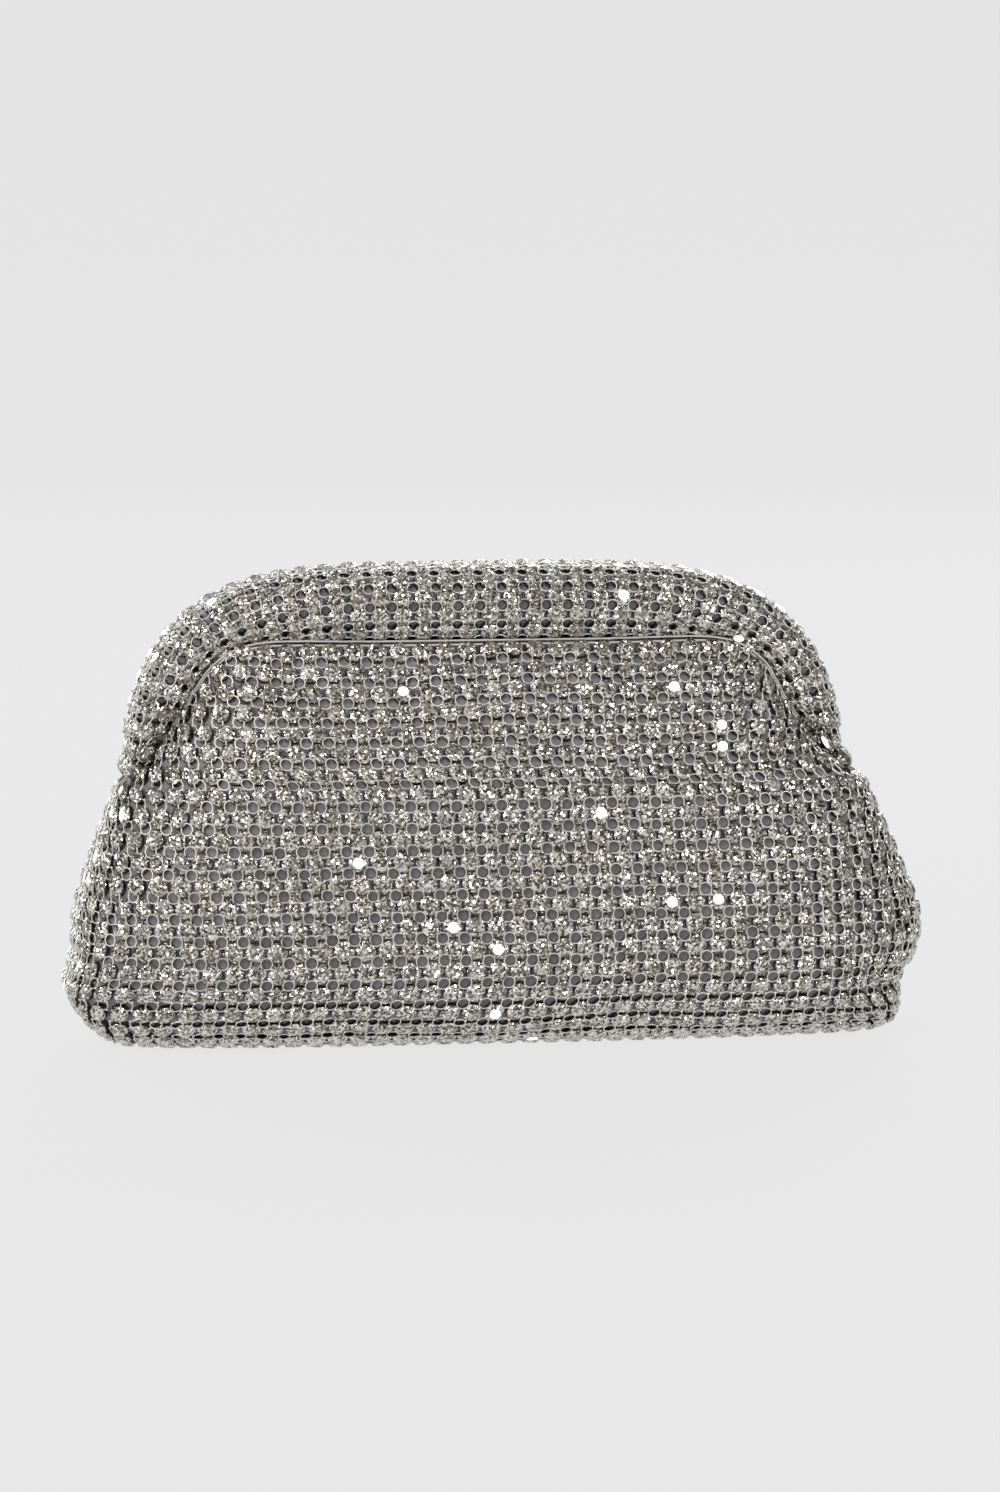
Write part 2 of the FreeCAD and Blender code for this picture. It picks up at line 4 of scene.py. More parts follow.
import bpy
import numpy as np
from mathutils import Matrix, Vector


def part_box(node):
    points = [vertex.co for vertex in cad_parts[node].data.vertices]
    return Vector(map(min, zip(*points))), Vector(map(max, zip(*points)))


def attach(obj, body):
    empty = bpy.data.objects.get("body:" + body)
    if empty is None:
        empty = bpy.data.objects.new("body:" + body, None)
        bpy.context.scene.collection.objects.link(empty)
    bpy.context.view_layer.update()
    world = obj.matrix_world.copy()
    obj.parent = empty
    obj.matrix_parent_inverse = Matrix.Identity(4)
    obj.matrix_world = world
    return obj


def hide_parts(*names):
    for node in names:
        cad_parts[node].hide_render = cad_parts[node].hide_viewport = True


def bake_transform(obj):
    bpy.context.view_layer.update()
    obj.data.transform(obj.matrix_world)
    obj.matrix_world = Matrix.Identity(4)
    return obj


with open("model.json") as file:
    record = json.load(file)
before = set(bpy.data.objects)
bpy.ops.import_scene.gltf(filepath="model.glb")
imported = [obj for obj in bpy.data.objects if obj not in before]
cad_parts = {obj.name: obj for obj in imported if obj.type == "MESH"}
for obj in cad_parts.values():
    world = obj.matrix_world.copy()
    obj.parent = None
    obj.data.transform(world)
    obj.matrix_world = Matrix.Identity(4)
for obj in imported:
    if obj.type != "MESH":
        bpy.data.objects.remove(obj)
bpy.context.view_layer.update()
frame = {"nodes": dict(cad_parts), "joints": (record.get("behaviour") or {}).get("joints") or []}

# The looks of an evening clutch: faceted stones in metal cups and small rings between them, all on a square
# lattice over grey satin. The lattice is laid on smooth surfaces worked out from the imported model's boxes.
# Lengths are in millimetres until a mesh is made, and metres in Blender.

MM = 0.001
FRONT, REAR = -1, 1  # sides of the parting plane, y = 0


def node_box(name):
    """Lowest and highest corner of a CAD node, in millimetres."""
    low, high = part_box(name)
    return np.array(low) / MM, np.array(high) / MM


SHELL_LOW, SHELL_HIGH = node_box("front_crystal_shell")
COVER_HIGH = node_box("front_roll_cover")[1]
HINGE_Z = frame["joints"][0]["pos_m"][2] / MM

# the pouch's sections, from the base over the belly to the rim
BELLY_HALF_WIDTH = (SHELL_HIGH[0] - SHELL_LOW[0]) / 2
BELLY_HALF_DEPTH = -SHELL_LOW[1]
RIM_Z = SHELL_HIGH[2]
TOP_Z = COVER_HIGH[2]
FOOT_HEIGHT = 20.0
BELLY_Z = 34.0
BASE_HALF_WIDTH = BELLY_HALF_WIDTH - 14.8
BASE_HALF_DEPTH = BELLY_HALF_DEPTH - 20.0
RIM_HALF_WIDTH = BELLY_HALF_WIDTH - 14.8
RIM_HALF_DEPTH = BELLY_HALF_DEPTH - 1.5
# how square the sections are: 2 is an ellipse
BASE_SQUARENESS, BELLY_SQUARENESS, RIM_SQUARENESS, SEAM_SQUARENESS = 3.0, 4.1, 2.7, 4.7

# the padded rolls: their outline seen from the front, and their sections
ARCH_HALF_WIDTH = COVER_HIGH[0] + 2.8
ARCH_FOOT_Z = HINGE_Z - 2.0
ARCH_HEIGHT = TOP_Z - ARCH_FOOT_Z
ARCH_SQUARENESS = 4.6
ROLL_TOP_RADIUS = 11.0
ROLL_END_RADIUS = 3.4
ROLL_END_Z = HINGE_Z - 5.0
ROLL_TUCK = 1.6  # how far the rolls draw in just above the hinge
ROLL_FLARE = 0.58  # and how fast they spread again below it, into the mouth of the pouch
MOUTH_Z = HINGE_Z - 5.0
ROLL_FRONT_TOP = 16.5  # depth from the parting plane to the front of a roll
ROLL_FRONT_END = 10.6
ROLL_MIDDLE = 0.34  # the widest place of a section, as a share of that depth
ROLL_CAP_LENGTH = 5.0  # the rounding of a roll's ends: its length, and what it leaves of the depth
ROLL_CAP_SHARE = 0.35
ROLL_HEART = 0.55  # where a cap closes towards, as a share of that depth
PARTING_GAP = 0.2
PARTING_SLOPE = 0.9

# the seam under a roll
SEAM_TOP_DEPTH = 12.6  # from the parting plane
SEAM_INSET = 1.79  # in roll radii from the roll's outer edge
# distance of the seam from the outer edge of the roll: wide along the top, narrower down the sides, and from a
# depth below the top tapering to the hinge
SEAM_WIDTH_TOP, SEAM_WIDTH_SIDE, SEAM_WIDTH_END = 19.7, 13.5, 1.5
SEAM_EASE = 5.0
SEAM_TAPER_START, SEAM_TAPER_LENGTH = 30.0, 31.0

# the soft pouch: how far it hangs to the right and at what heights, its slow waves, gathers and lower corners
SWAY_FOOT, SWAY_BELLY, SWAY_MOUTH = 2.2, 4.0, 2.5
SWAY_FOOT_Z, SWAY_BELLY_Z, SWAY_MOUTH_Z = 4.0, 26.0, 67.0
LONG_SWELL, LONG_WAVE = 0.75, 62.0
SHORT_SWELL, SHORT_WAVE = 0.3, 27.0
GATHER_HEIGHT, GATHER_PITCH = 0.55, 23.0
CORNER_TUCK_LEFT, CORNER_TUCK_RIGHT, FOOT_SPREAD_RIGHT = 2.1, 4.4, 3.8
CORNER_Z = 16.0

# the crystal mesh, and the cloth behind it
MESH_THICKNESS = 2.4
PITCH_ACROSS = 6.1
PITCH_UP = 5.9
ROLL_PITCH_ALONG = 5.9
ROLL_PITCH_ROUND = 5.57
FIRST_ROW_DROP = 3.3  # from the seam to the first row of stones
COLUMN_LEAN = 0.063  # the front's columns lean to the right going down, most at the left
LEAN_START, LEAN_REACH = 43.0, 150.0  # from right of the middle, growing to the left
EASE_LENGTH, EASE_LIMIT = 38.0, 1.16  # the outer columns are eased over this, at most so much
STONE_RADIUS = 2.8
RING_RADIUS = 1.62
PAINTED_SPARKLE_SHARE = 0.02  # of the stones, whose tables glow as painted sparkles
SATIN_THICKNESS = 0.5
LINING_THICKNESS = 0.5
LINING_DEPTH = 4.2  # below the skin

RNG = np.random.default_rng(11)


# ---------------------------------------------------------------- camera, lights, stage


def look_at(obj, target):
    obj.rotation_euler = (target - obj.location).to_track_quat("-Z", "Y").to_euler()


def make_camera():
    """Slightly from the left and a little above, through a long lens."""
    azimuth, elevation = math.radians(-8.0), math.radians(6.5)
    distance = 1.6
    frame_width = 0.2693
    target = Vector((0.0045, 0.0, 0.0786))
    level = math.cos(elevation)
    away = Vector((math.sin(azimuth) * level, -math.cos(azimuth) * level, math.sin(elevation)))
    data = bpy.data.cameras.new("camera")
    camera = bpy.data.objects.new("camera", data)
    bpy.context.scene.collection.objects.link(camera)
    camera.location = target + away * distance
    look_at(camera, target)
    data.sensor_fit = "HORIZONTAL"
    data.sensor_width = 36.0
    data.lens = data.sensor_width * distance / frame_width
    data.clip_end = 20.0
    bpy.context.scene.camera = camera


def area_light(name, location, size, power, target=(0.0, 0.0, 0.06), color=(1.0, 1.0, 1.0)):
    data = bpy.data.lights.new(name, "AREA")
    data.shape = "RECTANGLE"
    data.size, data.size_y = size
    data.energy = power
    data.color = color
    light = bpy.data.objects.new(name, data)
    bpy.context.scene.collection.objects.link(light)
    light.location = location
    look_at(light, Vector(target))


def make_lights():
    area_light("key_light", (-0.9, -1.3, 1.3), (1.0, 1.0), 18.5, color=(1.0, 0.975, 0.94))
    area_light("fill_light", (1.3, -1.1, 0.7), (0.5, 0.9), 9.0)
    area_light("top_light", (0.0, -0.1, 1.7), (1.2, 0.8), 3.5)
    area_light("left_glint", (-1.5, -1.9, 0.5), (0.12, 0.12), 3.0)
    area_light("right_glint", (0.8, -1.8, 1.0), (0.1, 0.1), 3.0)
    area_light("left_fill", (-1.7, -0.6, 0.7), (0.7, 1.0), 8.0)
    area_light("back_light", (0.7, 1.7, 0.8), (1.0, 0.8), 7.0)
    area_light("rear_fill", (-0.9, 1.7, 0.5), (0.8, 0.8), 7.0)
    world = bpy.data.worlds.new("studio")
    bpy.context.scene.world = world
    world.use_nodes = True
    tree = world.node_tree
    dim = put(tree.nodes["Background"], {"Color": (0.78, 0.79, 0.8, 1.0), "Strength": 0.22})
    backdrop_tone = (0.79, 0.79, 0.79, 1.0)
    pale = put(tree.nodes.new("ShaderNodeBackground"), {"Color": backdrop_tone})
    seen = tree.nodes.new("ShaderNodeLightPath")
    either = tree.nodes.new("ShaderNodeMixShader")
    link(seen, "Is Camera Ray", either, 0)
    link(dim, "Background", either, 1)
    link(pale, "Background", either, 2)
    link(either, "Shader", tree.nodes["World Output"], "Surface")
    bpy.context.scene.view_settings.view_transform = "Standard"


def make_stage():
    """A pale floor that curves up into a wall far behind."""
    half_width, near, far, rise, radius = 6.0, -6.0, 4.0, 5.0, 1.5
    profile = [(near, 0.0), (far - radius, 0.0)]
    for step in range(1, 13):
        turn = math.pi / 2 * step / 12
        profile.append((far - radius + radius * math.sin(turn), radius - radius * math.cos(turn)))
    profile.append((far, rise))
    points = [(x, y, z) for y, z in profile for x in (-half_width, half_width)]
    faces = [(2 * i, 2 * i + 1, 2 * i + 3, 2 * i + 2) for i in range(len(profile) - 1)]
    mesh = bpy.data.meshes.new("backdrop")
    mesh.from_pydata(points, [], faces)
    mesh.polygons.foreach_set("use_smooth", [True] * len(faces))
    floor = bpy.data.objects.new("backdrop", mesh)
    bpy.context.scene.collection.objects.link(floor)
    made, _, shader = new_material("backdrop_paper")
    put(shader, {
        "Base Color": (0.03, 0.03, 0.03, 1.0), "Roughness": 0.9, "Specular IOR Level": 0.1,
        "Emission Color": (1.0, 1.0, 1.0, 1.0), "Emission Strength": 0.758,
    })
    mesh.materials.append(made)


# ---------------------------------------------------------------- materials


def new_material(name):
    """A material, its tree and its shader."""
    made = bpy.data.materials.new(name)
    made.use_nodes = True
    return made, made.node_tree, made.node_tree.nodes["Principled BSDF"]


def put(node, values):
    """Sets a node's plain inputs."""
    for socket, value in values.items():
        node.inputs[socket].default_value = value
    return node


def link(source, output, target, socket):
    source.id_data.links.new(source.outputs[output], target.inputs[socket])


def ramp(tree, stops):
    node = tree.nodes.new("ShaderNodeValToRGB")
    elements = node.color_ramp.elements
    while len(elements) > 1:
        elements.remove(elements[-1])
    elements[0].position, elements[0].color = stops[0][0], (*stops[0][1], 1.0)
    for place, color in stops[1:]:
        elements.new(place).color = (*color, 1.0)
    return node


def stone_material(name, painted_sparkle=0.0):
    """Foil-backed cut glass: a clear polished crown, with painted reflections in its colour: many small bright
    and dark patches that stand for the glints of inner facets. Given a glow strength, it also glows: a painted
    sparkle on a few stones' tables."""
    made, tree, shader = new_material(name)
    # the emission is a painted sparkle, a glow in the glass though it is no lamp; it is zero for the plain
    # stone material
    put(shader, {
        "Metallic": 0.85, "Roughness": 0.12, "Coat Weight": 0.8, "Coat Roughness": 0.03,
        "Emission Color": (1.0, 0.98, 0.94, 1.0), "Emission Strength": painted_sparkle,
    })
    place = tree.nodes.new("ShaderNodeAttribute")
    place.attribute_name = "facet"
    cells = put(tree.nodes.new("ShaderNodeTexVoronoi"), {"Scale": 1.75})
    link(place, "Vector", cells, "Vector")
    split = tree.nodes.new("ShaderNodeSeparateColor")
    link(cells, "Color", split, "Color")
    # painted reflections: near-black to near-white patches in the colour stand for the dark and bright glints
    # of facets
    tone = ramp(
        tree,
        [
            (0.0, (0.025, 0.02, 0.013)),
            (0.22, (0.14, 0.122, 0.095)),
            (0.5, (0.46, 0.432, 0.39)),
            (0.8, (0.72, 0.695, 0.65)),
            (1.0, (0.93, 0.91, 0.875)),
        ],
    )
    link(split, "Red", tone, "Fac")
    link(tone, "Color", shader, "Base Color")
    tilt = put(tree.nodes.new("ShaderNodeVectorMath"), {1: (0.8, 0.8, 0.8), 2: (-0.4, -0.4, -0.4)})
    tilt.operation = "MULTIPLY_ADD"
    link(cells, "Color", tilt, 0)
    geometry = tree.nodes.new("ShaderNodeNewGeometry")
    lean = tree.nodes.new("ShaderNodeVectorMath")
    lean.operation = "ADD"
    link(geometry, "Normal", lean, 0)
    link(tilt, "Vector", lean, 1)
    level = tree.nodes.new("ShaderNodeVectorMath")
    level.operation = "NORMALIZE"
    link(lean, "Vector", level, 0)
    link(level, "Vector", shader, "Normal")
    return made


def metal_material(name, color, roughness, patina, metallic=1.0):
    """Plated metal with a faint uneven film."""
    made, tree, shader = new_material(name)
    put(shader, {"Metallic": metallic})
    film = put(tree.nodes.new("ShaderNodeTexNoise"), {"Scale": 90.0, "Detail": 3.0})
    link(tree.nodes.new("ShaderNodeTexCoord"), "Object", film, "Vector")
    tone = ramp(tree, [(0.3, tuple(c * patina for c in color)), (0.65, color)])
    link(film, "Fac", tone, "Fac")
    link(tone, "Color", shader, "Base Color")
    spread = put(tree.nodes.new("ShaderNodeMapRange"), {"To Min": roughness * 0.8, "To Max": roughness * 1.3})
    link(film, "Fac", spread, "Value")
    link(spread, "Result", shader, "Roughness")
    return made


def cloth_material(name, dark, light, weave_scale, bump, roughness, sheen):
    """Woven cloth: crossed threads in the bump, and slow patches of tone."""
    made, tree, shader = new_material(name)
    put(shader, {
        "Roughness": roughness, "Sheen Weight": sheen, "Sheen Roughness": 0.4, "Specular IOR Level": 0.35,
    })
    place = tree.nodes.new("ShaderNodeTexCoord")
    crossed = tree.nodes.new("ShaderNodeMath")
    crossed.operation = "MAXIMUM"
    for thread, direction in enumerate("XZ"):
        wave = tree.nodes.new("ShaderNodeTexWave")
        put(wave, {"Scale": weave_scale, "Distortion": 1.2, "Detail": 1.0})
        wave.bands_direction = direction
        link(place, "Object", wave, "Vector")
        link(wave, "Fac", crossed, thread)
    raised = put(tree.nodes.new("ShaderNodeBump"), {"Strength": bump, "Distance": 0.0002})
    link(crossed, "Value", raised, "Height")
    link(raised, "Normal", shader, "Normal")
    patches = put(tree.nodes.new("ShaderNodeTexNoise"), {"Scale": 60.0, "Detail": 4.0})
    link(place, "Object", patches, "Vector")
    tone = ramp(tree, [(0.3, dark), (0.7, light)])
    link(patches, "Fac", tone, "Fac")
    link(tone, "Color", shader, "Base Color")
    return made


# ---------------------------------------------------------------- mesh helpers


def make_piece(name, points, face_groups, material, smooth=False, facet=None):
    """A mesh object from points in millimetres and arrays of faces, one array for each number of corners."""
    mesh = bpy.data.meshes.new(name)
    points = np.asarray(points, float).reshape(-1, 3)
    groups = [np.asarray(group, np.int32) for group in face_groups if len(group)]
    corners = np.concatenate([group.ravel() for group in groups])
    sizes = np.concatenate([np.full(len(group), group.shape[1], np.int32) for group in groups])
    mesh.vertices.add(len(points))
    mesh.vertices.foreach_set("co", (points * MM).astype(np.float32).ravel())
    mesh.loops.add(len(corners))
    mesh.loops.foreach_set("vertex_index", corners)
    mesh.polygons.add(len(sizes))
    mesh.polygons.foreach_set("loop_start", np.concatenate([[0], np.cumsum(sizes)[:-1]]).astype(np.int32))
    mesh.update(calc_edges=True)
    mesh.polygons.foreach_set("use_smooth", np.full(len(sizes), smooth))
    if facet is not None:
        held = mesh.attributes.new("facet", "FLOAT_VECTOR", "POINT")
        held.data.foreach_set("vector", np.asarray(facet, np.float32).ravel())
    mesh.materials.append(material)
    mesh.validate()
    piece = bpy.data.objects.new(name, mesh)
    bpy.context.scene.collection.objects.link(piece)
    return piece


def unit(vectors):
    return vectors / np.maximum(np.linalg.norm(vectors, axis=-1, keepdims=True), 1e-9)


def grid_quads(index):
    """Faces between the neighbours on a grid of point numbers."""
    return np.stack([index[:-1, :-1], index[:-1, 1:], index[1:, 1:], index[1:, :-1]], -1).reshape(-1, 4)


def copies(template, spots):
    """Places a template at each spot. Returns points, face groups and facet coordinates, which differ by
    chance from copy to copy, so that no two stones look the same inside."""
    shape, groups = template
    origin, right, up, out = spots
    points = (
        origin[:, None, :]
        + shape[None, :, 0:1] * right[:, None, :]
        + shape[None, :, 1:2] * up[:, None, :]
        + shape[None, :, 2:3] * out[:, None, :]
    )
    offsets = np.arange(len(origin)) * len(shape)
    faces = [(offsets[:, None, None] + group[None]).reshape(-1, group.shape[1]) for group in groups]
    moved = shape[None] + RNG.uniform(-400, 400, (len(origin), 1, 3))
    return points.reshape(-1, 3), faces, moved.reshape(-1, 3)


def stone_template():
    """A round brilliant crown with a closed pavilion, standing on z = 0."""

    def circle(count, radius, height, shift):
        turn = (np.arange(count) + shift) * math.tau / count
        return np.column_stack([radius * np.cos(turn), radius * np.sin(turn), np.full(count, height)])

    table = circle(8, 0.55 * STONE_RADIUS, 2.4, 0.0)
    star = circle(8, 0.79 * STONE_RADIUS, 2.1, 0.5)
    girdle = circle(16, STONE_RADIUS, 1.5, 0.0)
    below = circle(16, STONE_RADIUS, 1.2, 0.0)
    culet = np.array([[0.0, 0.0, 0.1]])
    shape = np.vstack([table, star, girdle, below, culet])
    t, s, g, b, c = 0, 8, 16, 32, 48
    triangles, quads = [], []
    for k in range(8):
        nxt, prev = (k + 1) % 8, (k - 1) % 8
        a0, a1, a2 = 2 * k, 2 * k + 1, (2 * k + 2) % 16
        triangles += [(t + k, s + k, t + nxt), (s + k, g + a0, g + a1), (s + k, g + a1, g + a2)]
        quads.append((t + k, s + prev, g + a0, s + k))
    for j in range(16):
        nxt = (j + 1) % 16
        quads.append((g + j, b + j, b + nxt, g + nxt))
        triangles.append((b + j, c, b + nxt))
    return shape, [np.array(triangles), np.array(quads), np.arange(8)[None]]


def lathe_template(section, segments):
    """A closed ring: a closed section of (radius, height) points turned about the axis."""
    section = np.array(section, float)
    count = len(section)
    turn = np.arange(segments) * math.tau / segments
    shape = np.empty((segments, count, 3))
    shape[:, :, 0] = section[None, :, 0] * np.cos(turn)[:, None]
    shape[:, :, 1] = section[None, :, 0] * np.sin(turn)[:, None]
    shape[:, :, 2] = section[None, :, 1]
    i, j = np.meshgrid(np.arange(segments), np.arange(count), indexing="ij")
    ahead, over = (i + 1) % segments, (j + 1) % count
    quads = np.stack([i * count + j, i * count + over, ahead * count + over, ahead * count + j], -1)
    return shape.reshape(-1, 3), [quads.reshape(-1, 4)]


def ring_template():
    """A flat ring over the corners of four stones, with the four claws that hold them."""
    turn = np.arange(6) * math.tau / 6
    section = np.column_stack([RING_RADIUS + 0.17 * np.cos(turn), 1.62 - 0.24 * np.sin(turn)])
    shape, groups = lathe_template(section, 18)
    claw_radius, claw_height = 0.4, 1.95
    bead = [[1, 0, 0], [0, 1, 0], [-1, 0, 0], [0, -1, 0], [0, 0, 0.8], [0, 0, -1.4]]
    bead = claw_radius * np.array(bead, float)
    bead_faces = np.array([[k, (k + 1) % 4, 4] for k in range(4)] + [[(k + 1) % 4, k, 5] for k in range(4)])
    shapes, triangles = [shape], []
    for quarter in range(4):
        corner = math.pi / 4 + quarter * math.pi / 2
        reach = RING_RADIUS + 0.42
        shapes.append(bead + np.array([reach * math.cos(corner), reach * math.sin(corner), claw_height]))
        triangles.append(bead_faces + len(shape) + len(bead) * quarter)
    return np.vstack(shapes), [np.vstack(triangles), groups[0]]


def cup_template():
    """The thin cup round a stone's girdle."""
    rim = STONE_RADIUS + 0.1
    wall = [(rim, 0.0), (rim - 0.35, 0.0), (rim - 0.14, 1.3), (rim, 1.35)]
    return lathe_template(wall, 16)


# ---------------------------------------------------------------- surfaces


def bell(value, middle, spread):
    """1 at the middle, falling smoothly to 0."""
    return np.exp(-(((value - middle) / spread) ** 2))


def ramp_between(value, low, high):
    """0 up to low, rising smoothly to 1 at high."""
    share = np.clip((value - low) / (high - low), 0, 1)
    return share * share * (3 - 2 * share)


class Surface:
    """Points on a grid, looked up by a length across each row and a length along the rows. edge is the length
    at which each row meets the side seam."""

    def __init__(self, along, across_low, across_high, grid, edge=None):
        self.along, self.low, self.high, self.grid = along, across_low, across_high, grid
        self.edge = across_high if edge is None else edge

    def limits(self, along):
        return np.interp(along, self.along, self.low), np.interp(along, self.along, self.high)

    def edge_at(self, along):
        return np.interp(along, self.along, self.edge)

    def at(self, across, along):
        low, high = self.limits(along)
        rows, columns = self.grid.shape[:2]
        row = np.clip(np.interp(along, self.along, np.arange(rows)), 0, rows - 1.000001)
        column = np.clip((across - low) / (high - low), 0, 0.999999) * (columns - 1)
        i, j = row.astype(int), column.astype(int)
        p, q = (row - i)[..., None], (column - j)[..., None]
        g = self.grid
        near = (1 - q) * g[i, j] + q * g[i, j + 1]
        far = (1 - q) * g[i + 1, j] + q * g[i + 1, j + 1]
        return (1 - p) * near + p * far


def spread_evenly(points, count):
    """The same polyline with count points at equal distances, and its length."""
    step = np.linalg.norm(np.diff(points, axis=0), axis=1)
    along = np.concatenate([[0.0], np.cumsum(step)])
    want = np.linspace(0, along[-1], count)
    return np.column_stack([np.interp(want, along, points[:, k]) for k in range(points.shape[1])]), along[-1]


def arch_outline():
    """Right half of the outer outline of the rolls, from the middle of the top down to the hinge."""
    turn = np.linspace(math.pi / 2, 0.0, 1500)
    tail = np.linspace(ARCH_FOOT_Z, ROLL_END_Z - 2.0, 100)[1:]
    z = np.concatenate([ARCH_FOOT_Z + ARCH_HEIGHT * np.sin(turn), tail])
    x = ARCH_HALF_WIDTH * np.concatenate([np.cos(turn) ** (2 / ARCH_SQUARENESS), np.ones(len(tail))])
    x = x - ROLL_TUCK * (1 - ramp_between(z, HINGE_Z - 1.0, HINGE_Z + 10.0))
    x = x + ROLL_FLARE * np.maximum(HINGE_Z + 5.0 - z, 0.0)
    return spread_evenly(np.column_stack([x, z]), 440)[0]


def seam_width(z):
    """Distance of the seam from the outer edge of the roll, at a height of that edge."""
    drop = TOP_Z - z
    full = SEAM_WIDTH_SIDE + (SEAM_WIDTH_TOP - SEAM_WIDTH_SIDE) * np.exp(-np.maximum(drop, 0.0) / SEAM_EASE)
    taper = np.clip((drop - SEAM_TAPER_START) / SEAM_TAPER_LENGTH, 0, 1)
    return np.maximum(full * (1 - taper**1.6), SEAM_WIDTH_END)


def roll_radius(z):
    return np.maximum(seam_width(z) / SEAM_INSET, ROLL_END_RADIUS)


def inset_outline(inset):
    """The outline drawn in by inset(z), and the outward direction along it."""
    outline = arch_outline()
    direction = unit(np.gradient(outline, axis=0))
    inward = np.column_stack([direction[:, 1], -direction[:, 0]])
    return outline + inward * inset(outline[:, 1])[:, None], -inward


SEAM = inset_outline(seam_width)[0]
SEAM[0, 0] = 0.0
SEAM_TOP_Z = SEAM[0, 1]


def seam_height(x):
    """Height of the seam under the roll at a distance from the middle, down to the hinge."""
    order = np.argsort(SEAM[:, 0])
    high = np.interp(np.abs(x), SEAM[order, 0], SEAM[order, 1], right=-1.0)
    return np.maximum(high, MOUTH_Z)


def skin_table():
    """Rows of the skin of one side: height, half width, half depth and squareness of each section."""
    turn = np.linspace(0, math.pi / 2, 120)
    rounding = np.sin(turn)
    foot = np.column_stack(
        [
            FOOT_HEIGHT * (1 - np.cos(turn)),
            BASE_HALF_WIDTH + (BELLY_HALF_WIDTH - BASE_HALF_WIDTH) * rounding**1.3,
            BASE_HALF_DEPTH + (BELLY_HALF_DEPTH - BASE_HALF_DEPTH) * rounding,
            BASE_SQUARENESS + (BELLY_SQUARENESS - BASE_SQUARENESS) * rounding,
        ]
    )
    z = np.linspace(FOOT_HEIGHT, RIM_Z, 180)[1:]
    share = np.clip((z - BELLY_Z) / (RIM_Z - BELLY_Z), 0, 1)
    climb = np.clip((z - FOOT_HEIGHT) / (RIM_Z - FOOT_HEIGHT), 0, 1)
    wall = np.column_stack(
        [
            z,
            BELLY_HALF_WIDTH + (RIM_HALF_WIDTH - BELLY_HALF_WIDTH) * share**1.1,
            BELLY_HALF_DEPTH + (RIM_HALF_DEPTH - BELLY_HALF_DEPTH) * share**2,
            BELLY_SQUARENESS - (BELLY_SQUARENESS - RIM_SQUARENESS) * climb,
        ]
    )
    z = np.linspace(RIM_Z, SEAM_TOP_Z + 0.5, 120)[1:]
    share = (z - RIM_Z) / (SEAM_TOP_Z - RIM_Z)
    depth = RIM_HALF_DEPTH + (SEAM_TOP_DEPTH - RIM_HALF_DEPTH) * share**1.12
    square = RIM_SQUARENESS + (SEAM_SQUARENESS - RIM_SQUARENESS) * share
    order = np.argsort(SEAM[:, 1])
    seam_x = np.interp(z, SEAM[order, 1], SEAM[order, 0])
    seam_depth = 8.8 + 2.4 * share  # of the seam down the sides; each section is as wide as takes it there
    fitted = seam_x / (1 - (seam_depth / np.maximum(depth, seam_depth + 1.5)) ** square) ** (1 / square)
    held = np.argmax(z > SEAM_TOP_Z - 8.0)
    fitted[held:] = fitted[held]
    above_mouth = ramp_between(z, MOUTH_Z + 1.0, MOUTH_Z + 6.0)
    mouth_width = RIM_HALF_WIDTH - 0.4 * (z - RIM_Z)
    width = mouth_width * (1 - above_mouth) + fitted * above_mouth
    panel = np.column_stack([z, width, depth, square])
    table = np.vstack([foot, wall, panel])
    window = 15  # rows each way over which the widths and the squareness are smoothed
    padded = np.pad(table[:, 1:], ((window, window), (0, 0)), mode="edge")
    kernel = np.ones(2 * window + 1) / (2 * window + 1)
    for k in (0, 2):
        table[:, k + 1] = np.convolve(padded[:, k], kernel, mode="valid")
    return table


def skin_surface(side):
    """The outer skin of one side, from the edge of the base to the seam. Across is measured from the middle
    of the side, to the right as seen from that side; along is measured up the middle."""
    table = skin_table()
    meridian = np.column_stack([table[:, 2], table[:, 0]])
    along = np.concatenate([[0.0], np.cumsum(np.linalg.norm(np.diff(meridian, axis=0), axis=1))])
    half = 191
    turn = np.linspace(0, math.pi / 2 + 0.14, 700)  # a little past the side seam
    grid, lengths, edges = [], [], []
    for z, width, depth, power in table:
        reach = (np.abs(np.sin(turn)) ** power + np.abs(np.cos(turn)) ** power) ** (-1 / power)
        points = np.column_stack([width * reach * np.sin(turn), -depth * reach * np.cos(turn)])
        even, length = spread_evenly(points, half)
        edges.append(length * np.interp(0.0, even[:, 1], np.linspace(0, 1, half)))
        mirrored = even[::-1][:-1] * np.array([-1, 1])
        row = np.vstack([mirrored, even])
        grid.append(np.column_stack([row, np.full(len(row), z)]))
        lengths.append(length)
    grid, lengths = np.array(grid), np.array(lengths)
    if side == REAR:
        grid = grid * np.array([-1, -1, 1])
    return Surface(along, -lengths, lengths, grid, np.array(edges))


def ripple(u, v, wavelength, seed):
    """Smooth noise between about -1 and 1, from a few crossed waves."""
    picks = np.random.default_rng(seed)
    total = np.zeros(np.shape(u))
    for _ in range(7):
        heading = picks.uniform(0, math.tau)
        size = wavelength * picks.uniform(0.7, 1.6)
        phase = picks.uniform(0, math.tau)
        total = total + np.sin(math.tau * (u * math.cos(heading) + v * math.sin(heading)) / size + phase)
    return total / 3.2


def base_normal(surface, u, v):
    step = 0.6
    right = surface.at(u + step, v) - surface.at(u - step, v)
    up = surface.at(u, v + step) - surface.at(u, v - step)
    return unit(np.cross(right, up))


